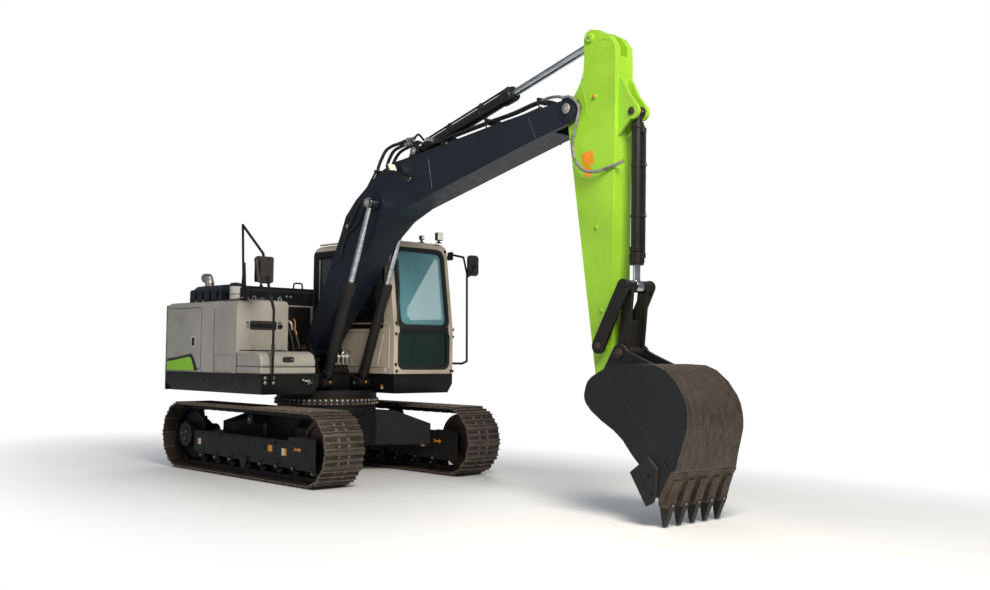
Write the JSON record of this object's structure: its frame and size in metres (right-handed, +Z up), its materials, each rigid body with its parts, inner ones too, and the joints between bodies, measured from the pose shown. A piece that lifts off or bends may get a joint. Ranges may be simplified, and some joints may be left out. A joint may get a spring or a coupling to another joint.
{
  "type": "crawler excavator",
  "caption": "Crawler excavator with a hollow cab, opening doors and hood, slewing upper structure and a boom, arm and bucket worked by hydraulic cylinders.",
  "frame": {"origin": "middle of the footprint at ground level", "axes": "+X forward along the boom, +Y to the cab side, +Z up"},
  "size_m": [7.8838, 2.8564, 4.4851],
  "materials": {
    "shell_paint": "satin warm grey paint, weathered",
    "dark_paint": "satin black paint, dusty",
    "boom_paint": "semi-gloss slate paint",
    "arm_paint": "semi-gloss lime green paint",
    "cylinder_paint": "semi-gloss dark paint",
    "rod_chrome": "hard chrome",
    "link_steel": "worn dark paint with rust",
    "bucket_steel": "black paint worn to bare steel",
    "edge_steel": "ground bare and rusty",
    "track_steel": "rusty, caked with earth",
    "frame_paint": "black paint, dusty",
    "bearing_steel": "greased machined steel",
    "exhaust_steel": "bright pipe",
    "window_glass": "pale green safety glass",
    "seat_cloth": "dark woven cloth",
    "lamp_shell": "clear lens in a dark housing"
  },
  "bodies": {
    "undercarriage": {"car_body": "frame_paint", "swing_bearing": "bearing_steel", "track_frame_right": "frame_paint", "track_frame_left": "frame_paint", "track_right": "track_steel", "track_left": "track_steel", "sprocket_right": "track_steel", "sprocket_left": "track_steel", "idler_right": "track_steel", "idler_left": "track_steel"},
    "upper": {"revolving_frame": "dark_paint", "counterweight": "dark_paint", "engine_house": "shell_paint", "engine": "dark_paint", "air_precleaner": "shell_paint", "fuel_tank": "shell_paint", "tool_box": "shell_paint", "handrail_right": "dark_paint", "mirror_right": "dark_paint", "cab_shell": "shell_paint", "windshield": "window_glass", "windshield_lower": "window_glass", "window_right": "window_glass", "window_rear": "window_glass", "window_left": "window_glass", "roof_hatch": "window_glass", "seat_base": "dark_paint", "seat": "seat_cloth", "mirror_arm_left": "dark_paint", "mirror_left": "dark_paint", "cab_lights": "lamp_shell"},
    "engine_hood": {"engine_hood": "dark_paint", "exhaust_pipe": "exhaust_steel"},
    "service_door_right": {"service_door_right": "shell_paint"},
    "service_door_left": {"service_door_left": "shell_paint"},
    "tool_box_lid": {"tool_box_lid": "shell_paint"},
    "cab_door": {"cab_door": "shell_paint", "cab_door_glass": "window_glass"},
    "boom": {"boom": "boom_paint", "boom_light": "lamp_shell"},
    "arm": {"arm": "arm_paint"},
    "boom_cylinder_right_barrel": {"boom_cylinder_right_barrel": "cylinder_paint"},
    "boom_cylinder_right_rod": {"boom_cylinder_right_rod": "rod_chrome"},
    "boom_cylinder_left_barrel": {"boom_cylinder_left_barrel": "cylinder_paint"},
    "boom_cylinder_left_rod": {"boom_cylinder_left_rod": "rod_chrome"},
    "arm_cylinder_barrel": {"arm_cylinder_barrel": "cylinder_paint"},
    "arm_cylinder_rod": {"arm_cylinder_rod": "rod_chrome"},
    "bucket_cylinder_barrel": {"bucket_cylinder_barrel": "cylinder_paint"},
    "bucket_cylinder_rod": {"bucket_cylinder_rod": "rod_chrome"},
    "idler_links": {"idler_link_right": "link_steel", "idler_link_left": "link_steel"},
    "bucket_link": {"bucket_link": "link_steel"},
    "bucket": {"bucket": "bucket_steel", "cutting_edge": "edge_steel"}
  },
  "joints": [
    {"name": "swing", "type": "hinge", "parent": "undercarriage", "child": "upper", "pos_m": [-1.75194, -0.1502, 0.9], "axis": [0, 0, 1], "continuous": true},
    {"name": "boom_lift", "type": "hinge", "parent": "upper", "child": "boom", "pos_m": [-1.84694, -0.1802, 1.47], "axis": [0, -1, 0], "range_deg": [-66, 30]},
    {"name": "arm_swing", "type": "hinge", "parent": "boom", "child": "arm", "pos_m": [2.39576, -0.1802, 3.75733], "axis": [0, 1, 0], "range_deg": [-85, 20]},
    {"name": "bucket_curl", "type": "hinge", "parent": "arm", "child": "bucket", "pos_m": [2.83894, -0.1802, 1.12031], "axis": [0, 1, 0], "range_deg": [-12, 130]},
    {"name": "boom_cylinder_right_swing", "type": "hinge", "parent": "upper", "child": "boom_cylinder_right_barrel", "pos_m": [-1.37394, -0.4422, 1.068], "axis": [0, -1, 0], "range_deg": [-80, 32]},
    {"name": "boom_cylinder_right_slide", "type": "slide", "parent": "boom_cylinder_right_barrel", "child": "boom_cylinder_right_rod", "axis": [0.3744, 0, 0.9273], "range_m": [-0.72, 0.3]},
    {"name": "boom_cylinder_left_swing", "type": "hinge", "parent": "upper", "child": "boom_cylinder_left_barrel", "pos_m": [-1.37394, 0.0818, 1.068], "axis": [0, -1, 0], "range_deg": [-80, 32]},
    {"name": "boom_cylinder_left_slide", "type": "slide", "parent": "boom_cylinder_left_barrel", "child": "boom_cylinder_left_rod", "axis": [0.3744, 0, 0.9273], "range_m": [-0.72, 0.3]},
    {"name": "arm_cylinder_swing", "type": "hinge", "parent": "boom", "child": "arm_cylinder_barrel", "pos_m": [-0.0045, -0.1802, 3.67889], "axis": [0, 1, 0], "range_deg": [-3, 3]},
    {"name": "arm_cylinder_slide", "type": "slide", "parent": "arm_cylinder_barrel", "child": "arm_cylinder_rod", "axis": [0.964, 0, 0.266], "range_m": [-0.91, 0.23]},
    {"name": "bucket_cylinder_swing", "type": "hinge", "parent": "arm", "child": "bucket_cylinder_barrel", "pos_m": [3.09379, -0.1802, 3.64648], "axis": [0, 1, 0], "range_deg": [-12, 3]},
    {"name": "bucket_cylinder_slide", "type": "slide", "parent": "bucket_cylinder_barrel", "child": "bucket_cylinder_rod", "axis": [-0.0069, 0, -1], "range_m": [-0.09, 0.8]},
    {"name": "idler_swing", "type": "hinge", "parent": "arm", "child": "idler_links", "pos_m": [2.7983, -0.1802, 1.513], "axis": [0, 1, 0], "range_deg": [-10, 92]},
    {"name": "bucket_link_swing", "type": "hinge", "parent": "idler_links", "child": "bucket_link", "pos_m": [3.0828, -0.1802, 2.05262], "axis": [0, 1, 0], "range_deg": [-62, 8]},
    {"name": "cab_door_hinge", "type": "hinge", "parent": "upper", "child": "cab_door", "pos_m": [-1.82664, 1.0948, 1.9], "axis": [0, 0, 1], "range_deg": [0, 165]},
    {"name": "service_door_left_hinge", "type": "hinge", "parent": "upper", "child": "service_door_left", "pos_m": [-3.42434, 1.0948, 1.59], "axis": [0, 0, 1], "range_deg": [0, 100]},
    {"name": "service_door_right_hinge", "type": "hinge", "parent": "upper", "child": "service_door_right", "pos_m": [-3.42434, -1.3952, 1.59], "axis": [0, 0, -1], "range_deg": [0, 100]},
    {"name": "engine_hood_hinge", "type": "hinge", "parent": "upper", "child": "engine_hood", "pos_m": [-3.36194, -0.1502, 2.0303], "axis": [0, -1, 0], "range_deg": [0, 60]},
    {"name": "tool_box_lid_hinge", "type": "hinge", "parent": "upper", "child": "tool_box_lid", "pos_m": [-1.78094, -1.0282, 1.437], "axis": [0, -1, 0], "range_deg": [0, 75]}
  ],
  "couplings": [
    {"joint": "boom_cylinder_right_swing", "follows": "boom_lift", "ratio": 1.0214},
    {"joint": "boom_cylinder_right_slide", "follows": "boom_lift", "m_per_rad": 0.5346},
    {"joint": "boom_cylinder_left_swing", "follows": "boom_lift", "ratio": 1.0214},
    {"joint": "boom_cylinder_left_slide", "follows": "boom_lift", "m_per_rad": 0.5346},
    {"joint": "arm_cylinder_swing", "follows": "arm_swing", "ratio": 0.0112},
    {"joint": "arm_cylinder_slide", "follows": "arm_swing", "m_per_rad": 0.5993},
    {"joint": "bucket_cylinder_swing", "follows": "bucket_curl", "ratio": -0.07657},
    {"joint": "bucket_cylinder_slide", "follows": "bucket_curl", "m_per_rad": 0.3424},
    {"joint": "idler_swing", "follows": "bucket_curl", "ratio": 0.68378},
    {"joint": "bucket_link_swing", "follows": "bucket_curl", "ratio": -0.4654}
  ]
}
